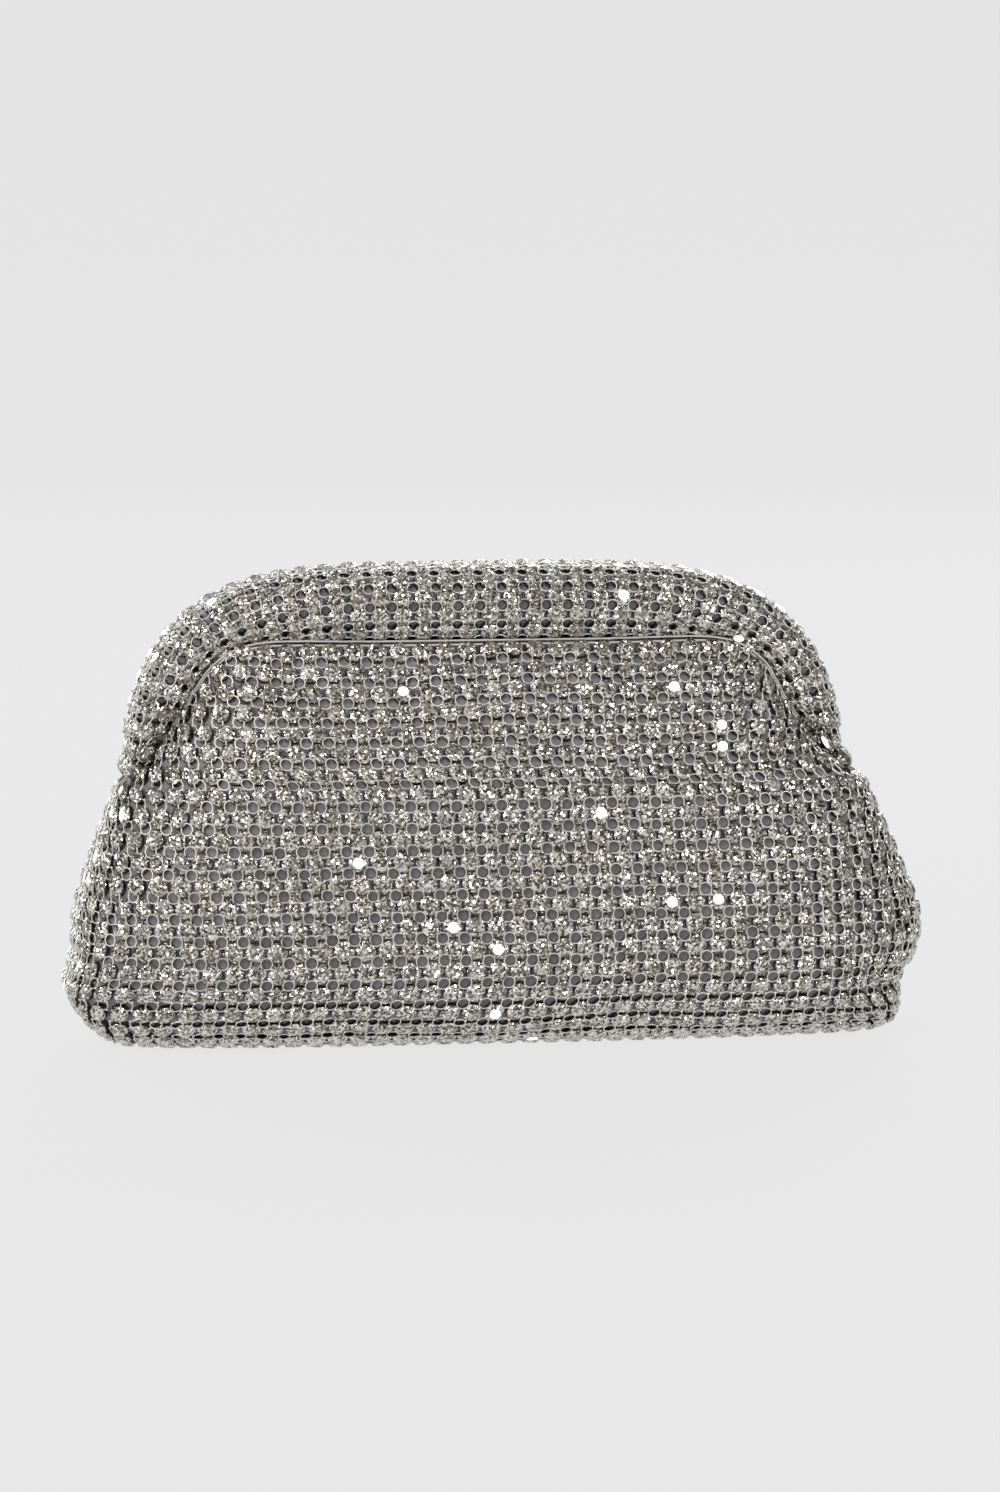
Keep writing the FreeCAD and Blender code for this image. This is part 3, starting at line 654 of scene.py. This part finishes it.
def sway(z):
    """How far the soft pouch hangs to the right at a height: most at the belly, nothing above the hinge."""
    hang = SWAY_FOOT + (SWAY_BELLY - SWAY_FOOT) * ramp_between(z, SWAY_FOOT_Z, SWAY_BELLY_Z)
    hang = hang - (SWAY_BELLY - SWAY_MOUTH) * ramp_between(z, SWAY_BELLY_Z, SWAY_MOUTH_Z)
    return hang * (1 - ramp_between(z, HINGE_Z - 9.0, HINGE_Z + 5.0))


def soft_skin(surface, side, depth=0.0):
    """The skin with the unevenness of cloth, drawn in by depth."""
    seed = 5 if side == FRONT else 9
    top = surface.along[-1]

    def shape(u, v):
        points = surface.at(u, v)
        out = base_normal(surface, u, v)
        below_seam = top - v
        to_side = surface.edge_at(v) - np.abs(u)
        # the swells die out at the base and the seams, and the gathers hang from the upper one
        quiet = ramp_between(v, 4.0, 22.0) * ramp_between(below_seam, 0.5, 7.0)
        swell = LONG_SWELL * ripple(u, v, LONG_WAVE, seed) + SHORT_SWELL * ripple(u, v, SHORT_WAVE, seed + 1)
        gathers = GATHER_HEIGHT * np.sin(math.tau * u / GATHER_PITCH + 1.7 * ripple(u, v, 80.0, seed + 2))
        swell = swell * quiet + gathers * ramp_between(below_seam, 2.0, 8.0) * bell(below_seam, 6.0, 13.0)
        swell = swell * ramp_between(to_side, 1.0, 22.0)
        x, z = points[..., 0], points[..., 2]
        corner = bell(z, CORNER_Z, 7.0) * ramp_between(np.abs(x), 88.0, 112.0)
        corner = corner * np.where(x < 0, -CORNER_TUCK_LEFT, -CORNER_TUCK_RIGHT)
        corner = corner + FOOT_SPREAD_RIGHT * bell(z, 1.0, 4.5) * ramp_between(x, 76.0, 104.0)
        moved = points + out * (swell - depth)[..., None]
        moved[..., 0] += sway(z) + corner
        return moved

    return shape


def frames(shape, u, v):
    """Origin, right, up and outward vectors of a soft surface; right and up keep the cloth's local stretch."""
    step = 0.8
    origin = shape(u, v)
    right = (shape(u + step, v) - shape(u - step, v)) / (2 * step)
    up = (shape(u, v + step) - shape(u, v - step)) / (2 * step)
    return origin, right, up, unit(np.cross(right, up))


def mating_gap(z):
    """Distance of a roll's mating face from the parting plane. Below the hinge it slopes away, because there
    the two rolls turn towards each other as the frames open."""
    return PARTING_GAP + PARTING_SLOPE * np.maximum(HINGE_Z + 1.0 - z, 0.0)


def roll_surface(side, grow=0.0):
    """A padded roll, made larger by grow. Across is measured round the section from its upper mating edge,
    over the outside and down to the underside; along follows the arch from left to right."""
    centre, outward = inset_outline(roll_radius)
    keep = centre[:, 1] > ROLL_END_Z
    centre, outward = centre[keep], outward[keep]
    radius = roll_radius(arch_outline()[keep][:, 1])
    centre = np.vstack([(centre * np.array([-1, 1]))[::-1], centre[1:]])
    outward = np.vstack([(outward * np.array([-1, 1]))[::-1], outward[1:]])
    radius = np.concatenate([radius[::-1], radius[1:]])
    along = np.concatenate([[0.0], np.cumsum(np.linalg.norm(np.diff(centre, axis=0), axis=1))])
    share = (radius - ROLL_END_RADIUS) / (ROLL_TOP_RADIUS - ROLL_END_RADIUS)
    reach = ROLL_FRONT_END + (ROLL_FRONT_TOP - ROLL_FRONT_END) * share
    from_end = np.minimum(along, along[-1] - along)
    cap = np.sqrt(np.clip(1 - np.clip(1 - from_end / ROLL_CAP_LENGTH, 0, 1) ** 2, 0.02, 1))
    grid, lengths = [], []
    for (x, z), (nx, nz), r, front, shrink in zip(centre, outward, radius, reach, cap):
        middle = ROLL_MIDDLE * front
        deep = front - middle + grow
        high = (r + grow) * shrink
        start = -math.asin((middle - PARTING_GAP) / deep)
        turn = np.linspace(start, math.pi - start, 400)
        radial = high * np.cos(turn)
        y = -(middle + deep * np.sin(turn))
        heart = ROLL_HEART * front
        y = -heart + (y + heart) * (ROLL_CAP_SHARE + (1 - ROLL_CAP_SHARE) * shrink)
        even, length = spread_evenly(np.column_stack([x + nx * radial, y, z + nz * radial]), 161)
        even[:, 0] += sway(even[:, 2])
        even[:, 1] = np.minimum(even[:, 1], -mating_gap(even[:, 2]))
        grid.append(even)
        lengths.append(length)
    grid, lengths = np.array(grid), np.array(lengths)
    if side == REAR:
        grid = grid[::-1] * np.array([1, -1, 1])
        along = along[-1] - along[::-1]
        lengths = lengths[::-1]
    return Surface(along, np.zeros(len(along)), lengths, grid)


# ---------------------------------------------------------------- pieces


def shell_piece(name, outer, inner, material):
    """A thin closed shell between two grids of points."""
    rows, columns = outer.shape[:2]
    total = rows * columns
    index = np.arange(total).reshape(rows, columns)
    front = grid_quads(index)
    back = front[:, [0, 3, 2, 1]] + total
    sides = []
    for rim in (index[:, 0][::-1], index[:, -1], index[0], index[-1][::-1]):
        near, far = rim[:-1], rim[1:]
        sides.append(np.stack([far, near, near + total, far + total], -1))
    points = np.concatenate([outer.reshape(-1, 3), inner.reshape(-1, 3)])
    return make_piece(name, points, [np.concatenate([front, back, *sides])], material, smooth=True)


def tube_piece(name, paths, radius, material, sides=8):
    """Cords of one radius along smooth paths."""
    turn = np.arange(sides) * math.tau / sides
    points, quads, ends, offset = [], [], [], 0
    for path in paths:
        tangent = unit(np.gradient(path, axis=0))
        first = unit(np.cross(tangent, np.array([0.0, 1.0, 0.0])))
        second = np.cross(tangent, first)
        circle = (
            path[:, None]
            + radius * np.cos(turn)[None, :, None] * first[:, None]
            + radius * np.sin(turn)[None, :, None] * second[:, None]
        )
        index = offset + np.arange(len(path) * sides).reshape(len(path), sides)
        index = np.hstack([index, index[:, :1]])
        quads.append(grid_quads(index))
        ends.append(np.stack([index[0, :-1][::-1], index[-1, :-1]]))
        points.append(circle.reshape(-1, 3))
        offset += len(path) * sides
    return make_piece(name, np.vstack(points), [np.vstack(quads), np.vstack(ends)], material, smooth=True)


def shell_area(grid):
    """Area of a grid of points in square metres."""
    along, across = np.diff(grid, axis=0)[:, :-1], np.diff(grid, axis=1)[:-1]
    return float(np.linalg.norm(np.cross(along, across), axis=2).sum()) * MM * MM


def square_lattice(low_u, high_u, low_v, high_v, pitch_u, pitch_v, shift_u, shift_v):
    """The places between the limits at whole pitches from the shift, row by row."""
    first_u, last_u = math.ceil((low_u - shift_u) / pitch_u), math.floor((high_u - shift_u) / pitch_u)
    first_v, last_v = math.ceil((low_v - shift_v) / pitch_v), math.floor((high_v - shift_v) / pitch_v)
    columns = np.arange(first_u, last_u + 1) * pitch_u + shift_u
    rows = np.arange(first_v, last_v + 1) * pitch_v + shift_v
    u, v = np.meshgrid(columns, rows)
    return u.ravel(), v.ravel()


def tilted(spots, tilt, size):
    """Small unevenness of hand setting."""
    origin, right, up, out = spots
    count = len(origin)
    lean_x, lean_y = RNG.normal(0, tilt, (2, count, 1))
    grow = 1 + RNG.normal(0, size, (count, 1))
    return origin, (right + out * lean_x) * grow, (up + out * lean_y) * grow, out - right * lean_x - up * lean_y


def spun(spots):
    """Each stone turned by chance in its cup."""
    origin, right, up, out = spots
    spin = RNG.uniform(0, math.tau / 8, (len(origin), 1))
    return origin, right * np.cos(spin) + up * np.sin(spin), up * np.cos(spin) - right * np.sin(spin), out


def crystal_pieces(prefix, stone_spots, ring_spots, materials):
    """Stones in their cups, and the rings over their corners."""
    cup_spots = tilted(stone_spots, 0.045, 0.01)
    pieces = []
    for kind, template, spots, key in (
        ("stones", stone_template(), spun(cup_spots), "stone"),
        ("cups", cup_template(), cup_spots, "cup"),
        ("rings", ring_template(), tilted(ring_spots, 0.05, 0.03), "ring"),
    ):
        points, faces, facet = copies(template, spots)
        facet = facet if kind == "stones" else None
        piece = make_piece(f"{prefix}_{kind}", points, faces, materials[key], facet=facet)
        if kind == "stones":
            # a few stones, chosen by chance, get the glowing material on their tables: painted sparkles
            painted_sparkle_stones = RNG.random(len(spots[0])) < PAINTED_SPARKLE_SHARE
            slots = np.zeros(len(piece.data.polygons), np.int32)
            slots[-len(painted_sparkle_stones):] = painted_sparkle_stones  # the mesh's last faces are the tables, one for each stone
            piece.data.materials.append(materials["painted_sparkle"])
            piece.data.polygons.foreach_set("material_index", slots)
        pieces.append(piece)
    return pieces


def fitted_columns(surface, side, v, half_step):
    """Lengths across one row. The outer columns are eased so that the last one sits beside the side seam."""
    lean = COLUMN_LEAN * (surface.along[-1] - v) if side == FRONT else 0.0
    target = float(surface.edge_at(v)) - PITCH_ACROSS / 2

    def lean_share(u):
        return np.clip((LEAN_START - u) / LEAN_REACH, 0, 1)

    columns = []
    for sign in (-1, 1):
        leaning = lean * lean_share(sign * target)
        count = int(round((target - sign * leaning) / PITCH_ACROSS))
        ease = target - (count * PITCH_ACROSS + sign * leaning)
        steps = np.arange(count + 1) + half_step
        if side == REAR or not half_step:
            steps = steps[steps <= count]
        regular = sign * steps * PITCH_ACROSS
        regular = regular + lean * lean_share(regular)
        eased = np.clip((steps * PITCH_ACROSS - target + EASE_LENGTH) / EASE_LENGTH, 0, EASE_LIMIT)
        columns.append(regular + sign * ease * eased)
    left = columns[0] if half_step else columns[0][1:]
    return np.concatenate([left[::-1], columns[1]])


def skin_spots(surface, side, half_step, past_seam):
    """Where stones (half_step 0) or rings (half_step 0.5) sit on one side of the bag. The last of them lie
    past_seam beyond the seam, under the roll."""
    first = surface.along[-1] - FIRST_ROW_DROP
    rows = first - PITCH_UP * (np.arange(int(first / PITCH_UP) + 1) + half_step)
    u, v = [], []
    for row in rows[rows > 1.8]:
        columns = fitted_columns(surface, side, row, half_step)
        u.append(columns)
        v.append(np.full(len(columns), row))
    u, v = np.concatenate(u), np.concatenate(v)
    outer = surface.at(u, v)
    keep = outer[:, 2] < seam_height(outer[:, 0]) + past_seam
    return frames(soft_skin(surface, side, MESH_THICKNESS), u[keep], v[keep])


def skin_shell(name, surface, side, depth, thickness, above_seam, material):
    """Cloth behind the crystals, from the base to just above the seam, with its flat size and its area."""
    columns, rows = 261, 120
    share = np.linspace(-1, 1, columns)
    v = np.linspace(0, surface.along[-1], 500)
    points = surface.at(share[None, :] * surface.edge_at(v)[:, None], v[:, None] + 0 * share[None, :])
    under = points[..., 2] <= seam_height(points[..., 0]) + above_seam
    last = len(v) - 1 - np.argmax(under[::-1], axis=0)
    v_grid = np.linspace(0, 1, rows)[:, None] * v[last][None, :]
    u_grid = share[None, :] * surface.edge_at(v_grid)
    outer = soft_skin(surface, side, depth)(u_grid, v_grid)
    inner = soft_skin(surface, side, depth + thickness)(u_grid, v_grid)
    piece = shell_piece(name, outer, inner, material)
    return piece, (2 * surface.edge.max() * MM, surface.along[-1] * MM), shell_area(surface.at(u_grid, v_grid))


def seam_piping(name, surface, side, material):
    """Two thin cords side by side along the skin's upper edge, from one side seam over the top to the other."""
    share = np.linspace(-1, 1, 1201)
    v = np.linspace(0.5 * surface.along[-1], surface.along[-1], 600)
    points = surface.at(share[None, :] * surface.edge_at(v)[:, None], v[:, None] + 0 * share[None, :])
    under = points[..., 2] <= seam_height(points[..., 0])
    v_edge = v[len(v) - 1 - np.argmax(under[::-1], axis=0)]
    reach = 12  # points each way over which the edge is smoothed
    kernel = np.ones(2 * reach + 1) / (2 * reach + 1)
    smooth = np.convolve(np.pad(v_edge, reach, mode="edge"), kernel, mode="valid")
    cords = []
    for lower, depth in ((0.0, 0.3), (1.0, 0.8)):
        line = soft_skin(surface, side, depth)(share * surface.edge_at(smooth - lower), smooth - lower)
        cords.append(spread_evenly(line, 420)[0])
    return tube_piece(name, cords, 0.26, material)


def make_side(side, materials):
    word = "front" if side == FRONT else "rear"
    surface = skin_surface(side)
    pieces = crystal_pieces(
        f"{word}_crystal", skin_spots(surface, side, 0, 2.0), skin_spots(surface, side, 0.5, 0.4), materials
    )
    satin, flat, area = skin_shell(
        f"{word}_satin_backing", surface, side, MESH_THICKNESS - 0.1, SATIN_THICKNESS, 1.5, materials["satin"]
    )
    lining, lining_flat, lining_area = skin_shell(
        f"{word}_inner_lining", surface, side, LINING_DEPTH, LINING_THICKNESS, 0.5, materials["lining"]
    )
    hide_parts(f"{word}_crystal_shell", f"{word}_upper_panel")
    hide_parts(f"{word}_backing", f"{word}_upper_backing")
    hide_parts(f"{word}_lining", f"{word}_upper_lining")
    piping = seam_piping(f"{word}_seam_piping", surface, side, materials["piping"])
    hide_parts(f"{word}_piping")
    for piece in (*pieces, satin, lining, piping):
        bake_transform(piece)


def make_roll(side, materials):
    word = "front" if side == FRONT else "rear"
    body = f"{word}_frame"
    surface = roll_surface(side)
    middle = surface.along[-1] / 2
    half_along, half_round = ROLL_PITCH_ALONG / 2, ROLL_PITCH_ROUND / 2

    def shape(along, across):
        points = surface.at(across, along)
        step = 0.5
        out = unit(np.cross(
            surface.at(across, along + step) - surface.at(across, along - step),
            surface.at(across - step, along) - surface.at(across + step, along),
        ))
        return points - out * MESH_THICKNESS

    def spots(shift_along, shift_round):
        end_margin, first_margin, last_margin, first_round = 3.0, 1.6, 1.7, 2.7
        along, across = square_lattice(
            end_margin, surface.along[-1] - end_margin, first_margin, surface.high.max(),
            ROLL_PITCH_ALONG, ROLL_PITCH_ROUND,
            middle % ROLL_PITCH_ALONG + shift_along, first_round + shift_round,
        )
        keep = across < surface.limits(along)[1] - last_margin
        origin, right, down, _ = frames(shape, along[keep], across[keep])
        up = -down
        out = unit(np.cross(right, up))
        narrow, low = ROLL_PITCH_ALONG / PITCH_ACROSS, ROLL_PITCH_ROUND / PITCH_UP
        right = narrow * right / np.linalg.norm(right, axis=1)[:, None]
        up = low * up / np.linalg.norm(up, axis=1)[:, None]
        return origin, right, up, out

    pieces = crystal_pieces(f"{word}_roll_crystal", spots(0.0, 0.0), spots(half_along, half_round), materials)
    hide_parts(f"{word}_roll_cover")
    inner_skin = roll_surface(side, -MESH_THICKNESS)
    core = roll_surface(side, -MESH_THICKNESS - SATIN_THICKNESS)
    satin_sides = inner_skin.grid[::2, ::-2], core.grid[::2, ::-2]
    satin = shell_piece(f"{word}_roll_satin", *satin_sides, materials["satin"])
    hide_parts(f"{word}_roll_cover")
    wadding_grid = roll_surface(side, -MESH_THICKNESS - SATIN_THICKNESS - 0.2).grid[3:-3, ::-4]
    wadding = closed_tube(f"{word}_roll_wadding", wadding_grid, materials["wadding"])
    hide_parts(f"{word}_roll_padding")
    start, end = inner_skin.grid[:, 0], inner_skin.grid[:, -1]
    share = np.linspace(0, 1, 9)[None, :, None]
    face = start[:, None] * (1 - share) + end[:, None] * share
    face[..., 1] = side * mating_gap(face[..., 2])
    back = face + np.array([0.0, side * 0.5, 0.0])
    facing = shell_piece(f"{word}_roll_ribbon", face, back, materials["ribbon"])
    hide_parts(f"{word}_roll_facing")
    for piece in (*pieces, satin, wadding, facing):
        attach(piece, body)


def closed_tube(name, grid, material):
    """A closed form with the grid's rows as its sections."""
    rows, columns = grid.shape[:2]
    index = np.arange(rows * columns).reshape(rows, columns)
    index = np.hstack([index, index[:, :1]])
    ends = np.stack([index[0, :-1][::-1], index[-1, :-1]])
    return make_piece(name, grid.reshape(-1, 3), [grid_quads(index), ends], material, smooth=True)


def base_outline(turn, half_width, half_depth):
    power = BASE_SQUARENESS
    reach = (np.abs(np.sin(turn)) ** power + np.abs(np.cos(turn)) ** power) ** (-1 / power)
    return np.column_stack([half_width * reach * np.sin(turn), -half_depth * reach * np.cos(turn)])


def base_sheet(name, half_width, half_depth, low_z, high_z, material):
    """A flat sheet with the base's outline, from rings of points round its middle."""
    rings, spokes = 18, 160
    turn = np.linspace(0, math.tau, spokes + 1)[:-1]
    share = np.linspace(0.02, 1.0, rings)
    ring = base_outline(turn, half_width, half_depth)
    layer = np.concatenate([share[:, None, None] * ring[None], np.zeros((rings, spokes, 1))], axis=2)
    low, high = layer.copy(), layer.copy()
    low[..., 2], high[..., 2] = low_z, high_z
    rows = np.concatenate([low, high[::-1]]) + np.array([sway(0.0), 0.0, 0.0])
    piece = closed_tube(name, rows, material)
    outline = np.vstack([ring, ring[:1]])
    area = 0.5 * abs(np.sum(outline[:-1, 0] * outline[1:, 1] - outline[1:, 0] * outline[:-1, 1])) * MM * MM
    return piece, (2 * half_width * MM, 2 * half_depth * MM), area


def make_base(materials):
    def spots(shift_x, shift_y):
        x, y = square_lattice(
            -BASE_HALF_WIDTH, BASE_HALF_WIDTH, -BASE_HALF_DEPTH, BASE_HALF_DEPTH, PITCH_ACROSS, PITCH_UP,
            shift_x, shift_y,
        )
        margin = 1.4
        share_x, share_y = np.abs(x) / (BASE_HALF_WIDTH - margin), np.abs(y) / (BASE_HALF_DEPTH - margin)
        inside = share_x**BASE_SQUARENESS + share_y**BASE_SQUARENESS < 1
        x, y = x[inside], y[inside]
        one = np.ones(len(x))
        origin = np.column_stack([x + sway(0.0), y, one * MESH_THICKNESS])
        return (
            origin,
            np.column_stack([one, 0 * one, 0 * one]),
            np.column_stack([0 * one, -one, 0 * one]),
            np.column_stack([0 * one, 0 * one, -one]),
        )

    pieces = crystal_pieces("base_crystal", spots(0, 0), spots(PITCH_ACROSS / 2, PITCH_UP / 2), materials)
    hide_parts("base_crystal_panel")
    clear = 0.4  # between a sheet's edge and the walls round it
    satin, flat, area = base_sheet(
        "base_satin", BASE_HALF_WIDTH - clear, BASE_HALF_DEPTH - clear,
        MESH_THICKNESS - 0.1, MESH_THICKNESS + 0.1, materials["satin"],
    )
    low, high = node_box("base_lining")
    lining, flat, area = base_sheet(
        "base_inner_lining", high[0] - clear, high[1] - clear, low[2], high[2], materials["lining"]
    )
    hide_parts("base_lining")
    for piece in (*pieces, satin, lining):
        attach(piece, "pouch")


def make_pocket(materials):
    """A slip pocket sewn to the rear lining, open at the top, with a turned hem."""
    low, high = node_box("slip_pocket")
    surface = skin_surface(REAR)
    bulge = LINING_DEPTH + 0.6
    x = np.linspace(high[0], low[0], 61)
    z = np.linspace(low[2], high[2], 31)
    v = np.interp(z, skin_table()[:, 0], surface.along)
    u_grid, v_grid = np.meshgrid(-x, v)
    lip_reach = 56.0  # the open edge stands off the lining most in the middle
    lip = 0.9 * bell(v_grid, v[-1], 10.0) * (1 - (u_grid / lip_reach) ** 2)
    out = base_normal(surface, u_grid, v_grid)
    outer = soft_skin(surface, REAR, bulge)(u_grid, v_grid) - out * lip[..., None]
    hem = 0.45 + 0.5 * ramp_between(v_grid, v[-1] - 5.0, v[-1] - 4.0)
    inner = outer - out * hem[..., None]
    pocket = shell_piece("slip_pocket_cloth", outer, inner, materials["lining"])
    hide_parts("slip_pocket")
    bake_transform(pocket)


def paint_hardware(materials):
    """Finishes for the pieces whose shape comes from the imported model."""
    finishes = {
        "front_bow": "steel", "rear_bow": "steel", "left_hinge_rivet": "steel", "right_hinge_rivet": "steel",
        "left_hinge_washer": "nylon", "right_hinge_washer": "nylon", "base_board": "board",
        "front_left_magnet": "magnet", "front_right_magnet": "magnet",
        "rear_left_magnet": "magnet", "rear_right_magnet": "magnet",
    }
    for node, finish in finishes.items():
        data = frame["nodes"][node].data
        data.materials.clear()
        data.materials.append(materials[finish])


def make_materials():
    """Every finish, by its short name."""
    metals = {  # name, colour, roughness, tone of the film, metallic
        # the cups' near-black colour is painted shade: it darkens the gaps between the stones, where shade
        # falls
        "cup": ("cup_nickel", (0.2, 0.19, 0.17), 0.35, 0.6),
        "ring": ("ring_nickel", (0.84, 0.83, 0.8), 0.42, 0.8, 0.55),
        "steel": ("zinc_steel", (0.55, 0.55, 0.56), 0.34, 0.7),
        "magnet": ("nickel_magnet", (0.7, 0.69, 0.67), 0.24, 0.8),
    }
    cloths = {  # name, dark and light colour, scale of the weave, bump, roughness, sheen
        "satin": ("grey_satin", (0.225, 0.209, 0.213), (0.33, 0.308, 0.314), 900.0, 0.25, 0.42, 0.25),
        "piping": ("pale_satin", (0.46, 0.445, 0.43), (0.6, 0.585, 0.57), 1400.0, 0.3, 0.38, 0.4),
        "lining": ("lining_satin", (0.016, 0.015, 0.016), (0.03, 0.028, 0.03), 800.0, 0.3, 0.45, 0.3),
        "ribbon": ("ribbed_ribbon", (0.2, 0.185, 0.19), (0.29, 0.27, 0.275), 420.0, 0.6, 0.55, 0.3),
        "wadding": ("felted_wadding", (0.62, 0.6, 0.56), (0.78, 0.76, 0.72), 260.0, 0.5, 0.95, 0.2),
        "nylon": ("white_nylon", (0.72, 0.71, 0.68), (0.8, 0.79, 0.76), 60.0, 0.05, 0.4, 0.0),
        "board": ("grey_board", (0.24, 0.22, 0.2), (0.36, 0.33, 0.3), 150.0, 0.4, 0.9, 0.0),
    }
    # the second stone material glows: painted sparkles on the tables of a few stones
    materials = {"stone": stone_material("cut_glass_stone"), "painted_sparkle": stone_material("cut_glass_painted_sparkle", 1.5)}
    materials.update({key: metal_material(*values) for key, values in metals.items()})
    materials.update({key: cloth_material(*values) for key, values in cloths.items()})
    return materials


def main():
    materials = make_materials()
    make_stage()
    make_lights()
    make_camera()
    paint_hardware(materials)
    for side in (FRONT, REAR):
        make_roll(side, materials)
        make_side(side, materials)
    make_base(materials)
    make_pocket(materials)


main()
bpy.context.view_layer.update()
